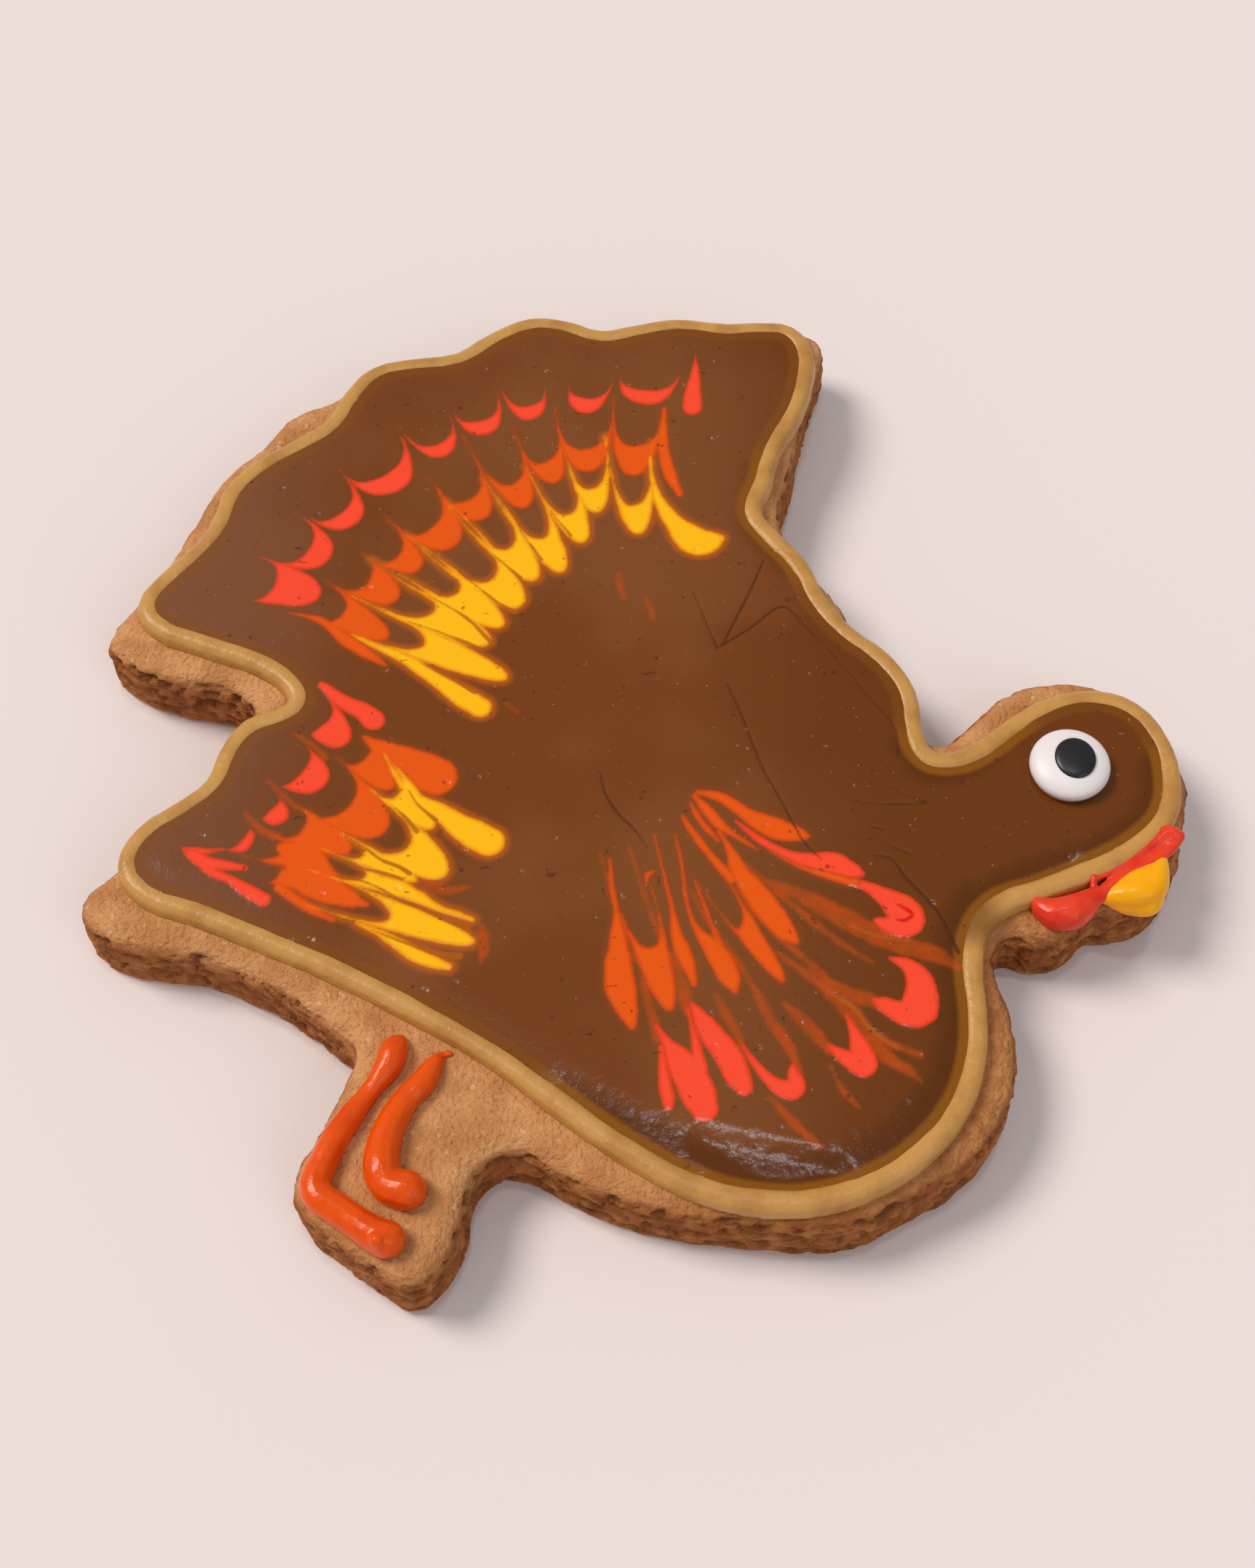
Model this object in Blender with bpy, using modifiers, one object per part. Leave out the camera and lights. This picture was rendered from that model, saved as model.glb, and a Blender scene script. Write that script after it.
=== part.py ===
"""Iced sugar cookie in the outline of a strutting turkey, as a standalone Blender 4.5 model.

A thick rolled biscuit carries a closed piped border line, the flooded icing inside it, two piped
legs, a beak, a snood that ends in a wattle, and a round sugar eye with its pupil.  The origin is
under the middle of the biscuit, on the surface that it lies on; +Y runs to the tail and +X to the
head.  Sizes below are millimetres, and MM turns them into Blender's metres.
"""
import math

import bmesh
import bpy

MM = 0.001
GAP = 0.3                    # clearance between pieces that touch

# Biscuit
BISCUIT_THICKNESS = 8.0
TOP_ROUNDING = 1.6           # rounding of the upper edge
BOTTOM_ROUNDING = 0.45       # rounding of the lower edge
OUTLINE_STEPS = 3            # straight pieces between two outline anchors
ICING_LEVEL = BISCUIT_THICKNESS + GAP

# Icing
BORDER_HALF_WIDTH = 1.0
BEAD_HEIGHT_RATIO = 1.5      # height of a piped bead over its half width
BEAD_FACES = 5               # flat faces over the round top of a piped bead
FLOOD_THICKNESS = 1.2
FLOOD_ROUNDING = 0.3
FLOOD_LEVEL = ICING_LEVEL + FLOOD_THICKNESS

# Sugar eye
EYE_CENTRE = (42.5, -4.7)
EYE_RADIUS = 3.95
EYE_HEIGHT = 2.4
EYE_WIDEST_LEVEL = 0.75      # height of the widest ring above the eye's flat base
EYE_FOOT_INSET = 0.7         # how far the flat base stays inside the widest ring
PUPIL_OFFSET = (0.3, 0.0)
PUPIL_RADIUS = 2.0
PUPIL_BED_LEVEL = 1.3        # floor of the pupil's recess above the eye's flat base
PUPIL_RISE = 0.12            # how far the pupil stands over the eye's crown
TURN_STEPS = 28

# Beak
BEAK_THICKNESS = 1.9
BEAK_ROUNDING = 0.8

# Outline of the biscuit, clockwise from the upper right corner of the tail.
TAIL_RIGHT = [(17.5, 54.2), (21.0, 52.0), (20.2, 48.5), (18.4, 42.0), (17.0, 35.0), (15.4, 27.0)]
BACK = [(18.0, 21.6), (21.4, 16.8), (22.6, 13.6), (26.6, 9.9), (28.5, 5.5), (28.9, 1.6), (29.8, 0.1)]
HEAD = [(33.2, 2.3), (38.2, 6.5), (42.5, 7.4), (46.5, 6.9), (51.0, 4.4), (53.4, -0.8), (54.5, -4.4),
        (53.4, -10.0)]
BEAK_TIP = [(52.1, -14.6), (49.4, -17.9), (46.0, -18.9), (43.6, -19.2)]
CHIN = [(41.4, -21.5), (38.0, -22.2), (35.3, -21.5)]
BREAST = [(33.8, -24.2), (34.7, -28.4), (35.2, -33.0), (34.0, -38.4), (30.4, -43.7), (24.5, -47.3),
          (18.5, -50.0), (11.0, -49.8), (3.0, -48.9), (-4.5, -46.5), (-10.3, -43.4)]
LEG = [(-12.6, -43.4), (-14.8, -45.8), (-15.4, -49.6), (-17.2, -53.5), (-19.6, -55.6), (-23.0, -54.0),
       (-26.6, -51.5), (-30.4, -47.8), (-30.9, -45.5), (-28.9, -40.8), (-27.1, -36.6), (-26.4, -33.2)]
LOWER_TAIL = [(-28.8, -30.9), (-35.3, -26.3), (-42.0, -23.6), (-48.3, -22.6), (-52.5, -20.3),
              (-53.4, -17.7), (-51.0, -14.8), (-47.6, -10.4), (-44.6, -6.6), (-42.4, -4.2),
              (-41.4, -1.2), (-40.2, 1.2)]
NOTCH = [(-38.7, 2.6), (-39.2, 4.5), (-42.0, 6.3)]
UPPER_TAIL = [(-47.5, 7.4), (-52.5, 9.7), (-54.4, 12.0), (-52.6, 16.0), (-48.6, 23.2), (-46.4, 28.5),
              (-44.7, 33.0), (-40.6, 37.6), (-38.0, 41.7), (-32.6, 44.7), (-28.6, 49.3),
              (-20.0, 51.1), (-16.0, 53.9), (-11.0, 55.8), (-3.2, 53.6), (4.5, 55.6), (11.0, 54.9)]
BISCUIT_OUTLINE = (TAIL_RIGHT + BACK + HEAD + BEAK_TIP + CHIN + BREAST + LEG + LOWER_TAIL + NOTCH
                   + UPPER_TAIL)

# Middle of the piped border line, clockwise from the same corner.
BORDER_TAIL_RIGHT = [(16.9, 52.2), (18.5, 49.4), (18.3, 45.5), (16.9, 40.7), (14.5, 35.8),
                     (13.4, 31.5), (12.2, 27.4)]
BORDER_BACK = [(13.6, 24.8), (16.8, 20.6), (18.5, 16.2), (21.2, 12.2), (24.9, 8.7), (27.0, 4.8),
               (27.4, 0.2), (28.6, -2.6), (30.8, -3.1)]
BORDER_HEAD = [(34.1, -1.8), (38.2, 1.4), (42.6, 3.7), (46.0, 4.1), (49.4, 2.8), (51.7, -0.8),
               (52.3, -4.4), (51.4, -9.0), (48.6, -12.1), (43.5, -15.1), (38.5, -17.2), (34.6, -18.7)]
BORDER_BREAST = [(32.2, -21.2), (31.2, -25.5), (31.3, -30.0), (30.8, -34.5), (29.0, -39.2),
                 (25.7, -43.2), (21.5, -46.1), (16.5, -47.9), (11.1, -48.1), (5.5, -46.8), (0.0, -43.9)]
BORDER_BELLY = [(-6.0, -39.6), (-12.5, -34.5), (-19.5, -30.2), (-27.0, -26.1), (-34.5, -22.6),
                (-42.0, -19.4), (-46.6, -17.6)]
BORDER_LOWER_TAIL = [(-48.7, -14.8), (-47.6, -11.4), (-44.0, -8.4), (-41.3, -5.8), (-40.1, -2.0),
                     (-38.3, 0.8), (-35.6, 2.0), (-33.8, 3.6), (-34.8, 6.2)]
BORDER_UPPER_TAIL = [(-38.2, 8.7), (-44.0, 11.0), (-48.9, 13.3), (-50.1, 15.6), (-48.6, 18.5),
                     (-45.4, 22.5), (-43.6, 26.0), (-42.6, 30.0), (-40.2, 33.2), (-35.8, 36.5),
                     (-32.6, 39.2), (-30.8, 43.1), (-28.4, 46.3), (-24.7, 47.4), (-19.5, 48.3),
                     (-15.2, 51.5), (-11.5, 53.3), (-8.0, 53.0), (-3.9, 51.5), (0.0, 52.3),
                     (4.5, 53.2), (10.2, 52.5), (14.0, 52.7)]
BORDER_LINE = (BORDER_TAIL_RIGHT + BORDER_BACK + BORDER_HEAD + BORDER_BREAST + BORDER_BELLY
               + BORDER_LOWER_TAIL + BORDER_UPPER_TAIL)

# Piped strokes: (x, y, half width) along the middle of each.
LEG_LEFT = [(-21.3, -32.3, 0.35), (-21.5, -33.2, 1.35), (-22.1, -34.9, 1.55), (-23.6, -36.6, 1.3),
            (-25.9, -39.8, 1.3), (-27.6, -43.2, 1.4), (-28.2, -45.8, 1.4), (-27.0, -48.1, 1.4),
            (-24.8, -49.8, 1.5), (-22.6, -51.0, 2.0), (-21.2, -51.6, 1.7), (-20.7, -51.8, 0.35)]
LEG_RIGHT = [(-17.1, -33.9, 0.25), (-17.3, -34.5, 0.6), (-18.2, -35.8, 1.3), (-20.2, -38.1, 1.3),
             (-21.6, -41.0, 1.55), (-22.3, -44.3, 1.9), (-21.8, -46.3, 2.0), (-20.2, -47.2, 2.1),
             (-18.9, -47.3, 1.6), (-18.5, -47.3, 0.35)]
SNOOD = [(53.1, -11.0, 0.25), (52.4, -11.5, 0.7), (51.1, -12.5, 0.7), (48.9, -14.2, 0.6),
         (46.2, -15.9, 0.55), (44.2, -17.3, 0.75), (42.6, -18.6, 1.3), (41.0, -19.3, 1.45),
         (39.4, -19.4, 1.1), (38.1, -19.2, 0.25)]
BEAK_OUTLINE = [(52.5, -13.6), (52.1, -16.6), (50.4, -19.2), (48.0, -19.8), (45.9, -19.3),
                (45.7, -18.3), (47.3, -17.0), (49.8, -15.3)]

# Finish of each piece: colour (linear), roughness.
FINISHES = {
    "biscuit": ((0.50, 0.24, 0.10), 0.85),
    "icing_tan": ((0.48, 0.25, 0.07), 0.35),
    "icing_brown": ((0.15, 0.050, 0.018), 0.38),
    "icing_orange": ((0.80, 0.11, 0.005), 0.28),
    "icing_yellow": ((0.95, 0.38, 0.005), 0.25),
    "icing_red": ((0.75, 0.055, 0.03), 0.30),
    "sugar_white": ((0.85, 0.80, 0.72), 0.45),
    "sugar_black": ((0.012, 0.010, 0.012), 0.40),
}


def clear_scene():
    for thing in list(bpy.data.objects):
        bpy.data.objects.remove(thing, do_unlink=True)


def finish(name):
    """Principled material of one finish, made once."""
    material = bpy.data.materials.get(name)
    if material is None:
        colour, roughness = FINISHES[name]
        material = bpy.data.materials.new(name)
        material.use_nodes = True
        shader = material.node_tree.nodes["Principled BSDF"]
        shader.inputs["Base Color"].default_value = (*colour, 1.0)
        shader.inputs["Roughness"].default_value = roughness
        shader.inputs["Metallic"].default_value = 0.0
    return material


def place(name, data, collection, parent=None, location=(0.0, 0.0, 0.0), material=None):
    """Puts data in a collection as a named object; the location is in millimetres."""
    thing = bpy.data.objects.new(name, data)
    collection.objects.link(thing)
    thing.parent = parent
    thing.location = [value * MM for value in location]
    if material:
        thing.data.materials.append(finish(material))
    return thing


def flat_curve(name, anchors, closed):
    """Smooth flat curve through (x, y) or (x, y, half width) anchors."""
    curve = bpy.data.curves.new(name, "CURVE")
    curve.dimensions = "2D"
    curve.resolution_u = OUTLINE_STEPS
    spline = curve.splines.new("BEZIER")
    spline.bezier_points.add(len(anchors) - 1)
    for point, anchor in zip(spline.bezier_points, anchors):
        point.co = (anchor[0] * MM, anchor[1] * MM, 0.0)
        point.handle_left_type = "AUTO"
        point.handle_right_type = "AUTO"
        if len(anchor) == 3:
            point.radius = anchor[2]
    spline.use_cyclic_u = closed
    return curve


def as_mesh(thing):
    """Replaces a curve object by its evaluated mesh, with the caps welded on."""
    graph = bpy.context.evaluated_depsgraph_get()
    mesh = bpy.data.meshes.new_from_object(thing.evaluated_get(graph))
    shape = bmesh.new()
    shape.from_mesh(mesh)
    bmesh.ops.remove_doubles(shape, verts=shape.verts, dist=0.00001)
    shape.to_mesh(mesh)
    shape.free()
    solid = bpy.data.objects.new(thing.name + "_mesh", mesh)
    solid.parent = thing.parent
    solid.matrix_world = thing.matrix_world
    for collection in thing.users_collection:
        collection.objects.link(solid)
    name = thing.name
    bpy.data.objects.remove(thing, do_unlink=True)
    solid.name = name
    return solid


def shade_round(thing, degrees=40.0):
    thing.data.shade_smooth()
    thing.data.set_sharp_from_angle(angle=math.radians(degrees))


def slab(name, anchors, thickness, base_level, collection, parent, material, inset=0.0):
    """Flat plate with a smooth closed outline, its lower face at base_level."""
    curve = flat_curve(name, anchors, closed=True)
    curve.fill_mode = "BOTH"
    curve.extrude = thickness / 2.0 * MM
    curve.offset = -inset * MM
    middle = base_level + thickness / 2.0
    thing = place(name, curve, collection, parent, (0.0, 0.0, middle), material)
    bpy.context.view_layer.update()
    return as_mesh(thing)


def round_rims(thing, top_width, bottom_width, segments):
    """Bevels the upper rim of a slab by top_width and its lower rim by bottom_width.

    The triangles of the flat faces are merged first, so that the bevels run clean.
    """
    shape = bmesh.new()
    shape.from_mesh(thing.data)
    inner = [edge for edge in shape.edges if all(abs(face.normal.z) > 0.5 for face in edge.link_faces)]
    bmesh.ops.dissolve_edges(shape, edges=inner, use_verts=False)
    weights = shape.edges.layers.float.new("bevel_weight_edge")
    for face in shape.faces:
        if abs(face.normal.z) > 0.5:
            width = top_width if face.normal.z > 0.0 else bottom_width
            for edge in face.edges:
                edge[weights] = width / top_width
    shape.to_mesh(thing.data)
    shape.free()
    bevel = thing.modifiers.new("rounded rims", "BEVEL")
    bevel.limit_method = "WEIGHT"
    bevel.width = top_width * MM
    bevel.segments = segments
    bevel.use_clamp_overlap = False
    shade_round(thing)


def bead_profile(collection):
    """Section of a piped bead, half a unit circle stretched upwards on a flat base."""
    curve = bpy.data.curves.new("bead_profile", "CURVE")
    curve.dimensions = "2D"
    spline = curve.splines.new("POLY")
    spline.points.add(BEAD_FACES)
    for index, point in enumerate(spline.points):
        angle = math.pi * (1.0 - index / BEAD_FACES)
        point.co = (math.cos(angle) * MM, math.sin(angle) * BEAD_HEIGHT_RATIO * MM, 0.0, 1.0)
    spline.use_cyclic_u = True
    guide = place("bead_profile", curve, collection)
    guide.hide_render = True
    guide.display_type = "WIRE"
    return guide


def piped_line(name, anchors, profile, collection, parent, material, closed=False):
    """Bead of icing piped along the anchors onto the biscuit; half widths scale the section."""
    curve = flat_curve(name, anchors, closed)
    curve.fill_mode = "NONE"
    curve.bevel_mode = "OBJECT"
    curve.bevel_object = profile
    curve.use_fill_caps = not closed
    thing = place(name, curve, collection, parent, (0.0, 0.0, ICING_LEVEL), material)
    bpy.context.view_layer.update()
    solid = as_mesh(thing)
    shade_round(solid, 50.0)
    return solid


def turned(name, profile, collection, parent, location, material):
    """Solid turned about Z from a profile that runs from the crown down its outer side."""
    mesh = bpy.data.meshes.new(name)
    corners = [(radius * MM, 0.0, height * MM) for radius, height in profile]
    mesh.from_pydata(corners, [(i, i + 1) for i in range(len(corners) - 1)], [])
    thing = place(name, mesh, collection, parent, location, material)
    screw = thing.modifiers.new("turn", "SCREW")
    screw.steps = TURN_STEPS
    screw.render_steps = TURN_STEPS
    screw.use_merge_vertices = True
    screw.merge_threshold = 0.00001
    screw.use_smooth_shade = True
    return thing


def eye_profile():
    """Flattened dome with a rounded foot and a flat base."""
    crown = []
    for step in range(9):
        angle = math.radians(90.0 * step / 8.0)
        rise = (EYE_HEIGHT - EYE_WIDEST_LEVEL) * math.cos(angle) ** 0.8
        crown.append((EYE_RADIUS * math.sin(angle), EYE_WIDEST_LEVEL + rise))
    foot = []
    for step in range(1, 4):
        angle = math.radians(90.0 * step / 3.0)
        radius = EYE_RADIUS - EYE_FOOT_INSET * (1.0 - math.cos(angle))
        foot.append((radius, EYE_WIDEST_LEVEL * (1.0 - math.sin(angle))))
    return crown + foot + [(0.0, 0.0)]


def pupil_profile():
    """Disc with a slightly domed face, standing in the eye's recess."""
    floor = PUPIL_BED_LEVEL + GAP
    top = EYE_HEIGHT + PUPIL_RISE
    dome = []
    for step in range(5):
        angle = math.radians(90.0 * step / 4.0)
        dome.append((PUPIL_RADIUS * math.sin(angle), top - 0.35 * (1.0 - math.cos(angle))))
    return dome + [(PUPIL_RADIUS, floor), (0.0, floor)]


def make_biscuit(parts, root):
    biscuit = slab("biscuit", BISCUIT_OUTLINE, BISCUIT_THICKNESS, 0.0, parts, root, "biscuit")
    round_rims(biscuit, TOP_ROUNDING, BOTTOM_ROUNDING, segments=2)


def make_icing(parts, cutters, root):
    profile = bead_profile(cutters)
    border = [(x, y, BORDER_HALF_WIDTH) for x, y in BORDER_LINE]
    piped_line("icing_border", border, profile, parts, root, "icing_tan", closed=True)
    inset = BORDER_HALF_WIDTH + GAP
    flood = slab("flood_icing", BORDER_LINE, FLOOD_THICKNESS, ICING_LEVEL, parts, root,
                 "icing_brown", inset)
    round_rims(flood, FLOOD_ROUNDING, 0.0, segments=1)
    piped_line("leg_left", LEG_LEFT, profile, parts, root, "icing_orange")
    piped_line("leg_right", LEG_RIGHT, profile, parts, root, "icing_orange")
    piped_line("snood", SNOOD, profile, parts, root, "icing_red")
    beak = slab("beak", BEAK_OUTLINE, BEAK_THICKNESS, ICING_LEVEL, parts, root, "icing_yellow")
    round_rims(beak, BEAK_ROUNDING, BEAK_ROUNDING / 4.0, segments=2)


def make_eye(parts, cutters, root):
    base = (*EYE_CENTRE, FLOOD_LEVEL + GAP)
    white = turned("eye_white", eye_profile(), parts, root, base, "sugar_white")
    seat = (base[0] + PUPIL_OFFSET[0], base[1] + PUPIL_OFFSET[1], base[2])
    turned("eye_pupil", pupil_profile(), parts, root, seat, "sugar_black")

    bore = bpy.data.meshes.new("pupil_bore")
    shape = bmesh.new()
    radius = (PUPIL_RADIUS + GAP) * MM
    bmesh.ops.create_cone(shape, cap_ends=True, segments=TURN_STEPS, radius1=radius,
                          radius2=radius, depth=2.0 * EYE_HEIGHT * MM)
    shape.to_mesh(bore)
    shape.free()
    bore_level = seat[2] + PUPIL_BED_LEVEL + EYE_HEIGHT
    cutter = place("pupil_bore", bore, cutters, root, (seat[0], seat[1], bore_level))
    cutter.hide_render = True
    cutter.display_type = "WIRE"
    recess = white.modifiers.new("pupil recess", "BOOLEAN")
    recess.operation = "DIFFERENCE"
    recess.solver = "EXACT"
    recess.object = cutter


def main():
    clear_scene()
    parts = bpy.data.collections.new("iced_sugar_cookie")
    cutters = bpy.data.collections.new("cutters")
    bpy.context.scene.collection.children.link(parts)
    bpy.context.scene.collection.children.link(cutters)
    root = place("cookie_root", None, parts)
    make_biscuit(parts, root)
    make_icing(parts, cutters, root)
    make_eye(parts, cutters, root)


main()
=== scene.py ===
"""Iced sugar cookie in the outline of a strutting turkey: the visual model around its CAD frame.

Each sub-part of the frame gets one finer piece with a procedural material.  The biscuit and the
border line are voxel copies of their CAD solids, with baked grain, cracks and dents.  The legs,
the beak and the snood are squeezed out along strokes, and the sugar eye is turned.  The flooded
icing is a fine height field whose feathered marbling is kept as distances to drawn shapes.
Sizes are millimetres in the frame's axes: +Y runs to the tail, +X to the head and +Z up.
"""

import math

import bmesh
import bpy
import numpy as np
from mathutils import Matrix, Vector, noise


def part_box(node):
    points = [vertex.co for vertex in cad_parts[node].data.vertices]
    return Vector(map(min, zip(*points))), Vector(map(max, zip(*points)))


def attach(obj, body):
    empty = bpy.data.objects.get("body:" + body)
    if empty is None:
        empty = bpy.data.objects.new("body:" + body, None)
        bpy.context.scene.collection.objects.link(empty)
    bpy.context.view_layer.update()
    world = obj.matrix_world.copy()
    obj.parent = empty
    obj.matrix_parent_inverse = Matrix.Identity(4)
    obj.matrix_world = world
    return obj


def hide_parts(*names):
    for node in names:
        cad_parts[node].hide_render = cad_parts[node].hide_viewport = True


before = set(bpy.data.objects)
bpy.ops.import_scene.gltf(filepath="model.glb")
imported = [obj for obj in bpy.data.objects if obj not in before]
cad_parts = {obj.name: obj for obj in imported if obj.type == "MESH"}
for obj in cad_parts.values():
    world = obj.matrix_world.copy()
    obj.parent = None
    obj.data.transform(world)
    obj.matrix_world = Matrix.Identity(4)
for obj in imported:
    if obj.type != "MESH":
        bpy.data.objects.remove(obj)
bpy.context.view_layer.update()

MM = 0.001

# Camera
VIEW_TARGET = (-0.9, -5.0, 8.0)
VIEW_DISTANCE = 215.0
VIEW_ELEVATION = 60.0
FOCAL_LENGTH = 50.1
SENSOR_SIZE = 36.0

# Levels
BISCUIT_TOP = 8.0
ICING_BASE = 7.85            # foot of every iced piece, just inside the biscuit
FLOOD_TOP = 9.62             # level of the flooded icing away from its border
EYE_BASE = 9.4

# Sugar eye
EYE_SHIFT = (-0.2, 0.4, 0.0)  # how far it sits off its CAD place
PUPIL_STRETCH = 1.12         # its pupil is longer along Y than along X

# Fineness of the meshes
BISCUIT_VOXEL = 0.4
BORDER_VOXEL = 0.22
PIPING_VOXEL = 0.14
FLOOD_STEP = 0.2
RELAX_FACTOR = 0.5           # strength of each smoothing step after a voxel remesh

# Border line
BORDER_SWELL = 0.27          # how far its skin is blown up from the smoothed voxel copy
BORDER_SHOULDER = 9.2        # level above which its crown is pressed flatter

# Legs, as (x, y, half width) stations along each
LEG_LEFT = [(-21.8, -32.6, 0.7), (-22.3, -33.6, 1.35), (-22.8, -35.1, 1.3), (-23.7, -36.6, 1.0),
            (-24.8, -38.2, 0.95), (-25.9, -39.9, 1.15), (-27.1, -42.0, 1.3), (-28.0, -44.2, 1.35),
            (-28.6, -46.2, 1.45), (-28.1, -47.6, 1.5), (-26.7, -48.6, 1.5), (-24.9, -49.8, 1.5),
            (-23.2, -50.9, 1.6), (-22.0, -51.5, 1.75)]
LEG_RIGHT = [(-17.2, -33.7, 0.3), (-18.0, -33.9, 0.35), (-18.6, -34.9, 0.85), (-19.5, -36.6, 1.25),
             (-21.1, -38.6, 1.3), (-22.2, -40.8, 1.45), (-22.8, -43.0, 1.6), (-22.8, -45.0, 1.8),
             (-22.1, -46.5, 1.7), (-20.5, -47.0, 1.9)]

# Squeezed strokes with a level of their own, as (x, y, half width, level of the middle)
LEG_LEFT_NIB = [(-22.3, -51.6, 0.9, 9.6), (-22.7, -52.0, 0.75, 10.1)]
SNOOD = [
    [(52.5, -11.5, 0.4, 9.4), (51.7, -11.3, 0.75, 9.4), (51.0, -11.1, 0.6, 9.4)],
    [(51.3, -11.1, 0.7, 9.4), (49.6, -12.5, 0.35, 9.3), (48.4, -13.4, 0.3, 9.2),
     (46.6, -14.6, 0.25, 9.1), (45.1, -15.5, 0.25, 9.1), (43.7, -16.2, 0.3, 9.2)],
    [(43.6, -16.1, 0.4, 9.3), (43.5, -16.9, 0.35, 9.1)],
    [(52.4, -11.7, 0.5, 9.2), (51.4, -12.9, 0.5, 9.2), (50.2, -13.8, 0.5, 9.1), (48.7, -14.7, 0.5, 9.1),
     (46.8, -15.8, 0.5, 9.0), (45.5, -16.7, 0.55, 9.0), (44.4, -17.5, 0.75, 8.9),
     (43.3, -18.1, 1.1, 8.8), (42.2, -18.9, 1.5, 8.7), (41.0, -19.5, 1.75, 8.6),
     (39.7, -19.6, 1.6, 8.6), (38.6, -19.1, 1.1, 8.7), (38.0, -18.5, 0.6, 8.9)],
    [(51.6, -11.8, 0.7, 9.2), (50.4, -12.9, 0.55, 8.9), (48.4, -14.2, 0.5, 8.75),
     (46.4, -15.5, 0.5, 8.7), (44.6, -16.8, 0.5, 8.6)],
]
BEAK = [
    [(50.5, -13.6, 0.55, 8.8), (50.0, -15.2, 1.1, 8.8), (49.1, -16.9, 1.6, 8.6), (47.3, -17.5, 1.7, 8.6),
     (45.8, -17.6, 1.2, 8.6), (44.7, -17.8, 0.8, 8.6)],
    [(49.3, -15.4, 1.2, 8.7), (47.6, -16.4, 1.3, 8.7), (46.0, -17.0, 0.9, 8.7)],
    [(49.8, -15.6, 1.1, 8.3), (49.0, -18.1, 1.25, 8.0), (47.2, -18.4, 1.1, 8.0), (45.6, -18.1, 0.8, 8.2)],
]

# Flooded icing
FLOOD_TUCK = 1.1             # how far it runs in under the border line
FLOOD_DIP = 0.15             # how far it sinks towards the border line
FLOOD_DIP_REACH = 1.5
PRICKS = 90                  # small round pits in its skin
FAR = 9.0                    # distance written where no drawn shape is near
DRAWN_MARGIN = 2.5           # how far outside a drawn shape its distance is worked out

# Looks
ICING_SHINE = 0.28           # specular level of all piped and flooded icing
NECK_SMEAR = (31.4, -20.3, 9.0)  # middle of the brown smear over the border line


# ---------------------------------------------------------------------------- small tools

def srgb(red, green, blue):
    """Linear colour of an 8-bit display colour."""
    channels = []
    for value in (red, green, blue):
        part = value / 255.0
        channels.append(part / 12.92 if part <= 0.04045 else ((part + 0.055) / 1.055) ** 2.4)
    return (*channels, 1.0)


def new_object(name, mesh):
    thing = bpy.data.objects.new(name, mesh)
    bpy.context.scene.collection.objects.link(thing)
    return thing


def coordinates(mesh):
    """Vertex places of a mesh as an array in millimetres."""
    places = np.empty(len(mesh.vertices) * 3)
    mesh.vertices.foreach_get("co", places)
    return places.reshape(-1, 3) / MM


def normals(mesh):
    directions = np.empty(len(mesh.vertices) * 3, dtype=np.float32)
    mesh.vertices.foreach_get("normal", directions)
    return directions.reshape(-1, 3).astype(float)


def set_coordinates(mesh, places):
    mesh.vertices.foreach_set("co", (places * MM).ravel())
    mesh.update()


def set_attribute(mesh, name, values):
    layer = mesh.attributes.new(name, "FLOAT", "POINT")
    layer.data.foreach_set("value", np.ascontiguousarray(values, dtype=np.float32))


def noise_field(places, frequency, offset=0.0, stretch=(1.0, 1.0, 1.0)):
    """Perlin noise, about -1 to 1, at each place; the frequency is in waves per millimetre."""
    scaled = places * (frequency * np.array(stretch)) + offset
    return np.array([noise.noise(Vector(place)) for place in scaled])


def smooth_step(values, low, high):
    part = np.clip((values - low) / (high - low), 0.0, 1.0)
    return part * part * (3.0 - 2.0 * part)


def evaluated_mesh(thing):
    """The mesh of an object with its modifiers applied; the object is removed."""
    graph = bpy.context.evaluated_depsgraph_get()
    mesh = bpy.data.meshes.new_from_object(thing.evaluated_get(graph))
    bpy.data.objects.remove(thing, do_unlink=True)
    return mesh


def voxel_skin(thing, voxel, smoothing):
    """Remeshed and smoothed mesh of an object; the object is removed."""
    remesh = thing.modifiers.new("voxels", "REMESH")
    remesh.mode = "VOXEL"
    remesh.voxel_size = voxel * MM
    relax = thing.modifiers.new("relax", "SMOOTH")
    relax.factor = RELAX_FACTOR
    relax.iterations = smoothing
    return evaluated_mesh(thing)


def fine_copy(node, voxel, smoothing, foot=None):
    """Voxel copy of a CAD solid, smoothed; with a foot level, it is first stretched down to it."""
    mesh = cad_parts[node].data.copy()
    if foot is not None:
        places = coordinates(mesh)
        low = places[:, 2].min()
        high = places[:, 2].max()
        places[:, 2] = high - (high - places[:, 2]) * (high - foot) / (high - low)
        set_coordinates(mesh, places)
    return voxel_skin(new_object(node + "_rough", mesh), voxel, smoothing)


def finished(name, node, mesh, material):
    """Shows a mesh as the fine piece of one sub-part."""
    mesh.materials.clear()
    mesh.materials.append(material)
    mesh.shade_smooth()
    piece = new_object(name, mesh)
    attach(piece, "root")
    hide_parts(node)


# ---------------------------------------------------------------------------- material tools

def new_material(name):
    material = bpy.data.materials.new(name)
    material.use_nodes = True
    shader = material.node_tree.nodes["Principled BSDF"]
    return material, material.node_tree, shader


def node_of(tree, kind, **settings):
    made = tree.nodes.new(kind)
    for key, value in settings.items():
        setattr(made, key, value)
    return made


def attribute(tree, name):
    return node_of(tree, "ShaderNodeAttribute", attribute_name=name).outputs["Fac"]


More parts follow.
